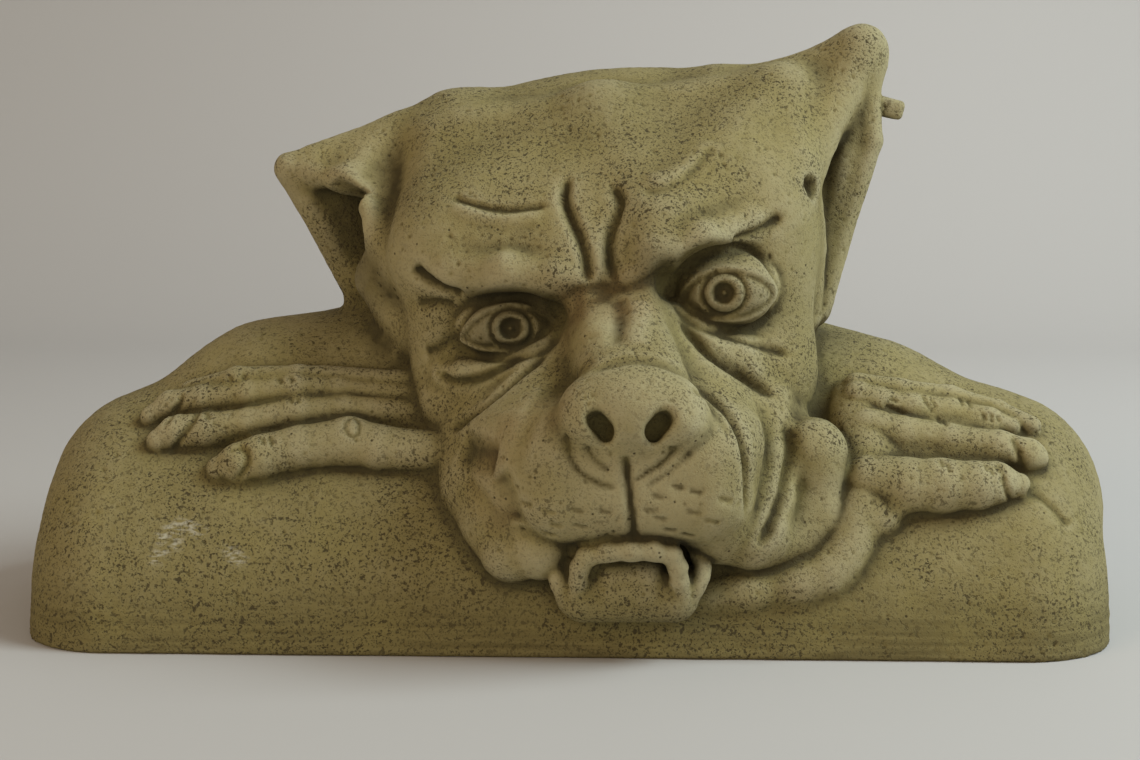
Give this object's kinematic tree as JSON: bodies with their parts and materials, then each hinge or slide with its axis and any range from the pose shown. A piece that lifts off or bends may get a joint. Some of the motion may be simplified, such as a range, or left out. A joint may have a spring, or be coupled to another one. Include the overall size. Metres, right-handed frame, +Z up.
{
  "type": "stone gargoyle",
  "caption": "Cast stone gargoyle that crouches with its scowling, pig-eared head resting on folded arms, standing on a flat underside.",
  "frame": {"origin": "middle of the bounding box, on the flat underside", "axes": "+X across the piece from the creature's right hand to its left hand, +Y from the face to the back, +Z up"},
  "size_m": [0.4462, 0.2278, 0.246],
  "materials": {
    "stone": "matt, fine-pitted cast stone with an olive-buff weathered surface"
  },
  "bodies": {
    "root": {"gargoyle": "stone"}
  },
  "joints": []
}
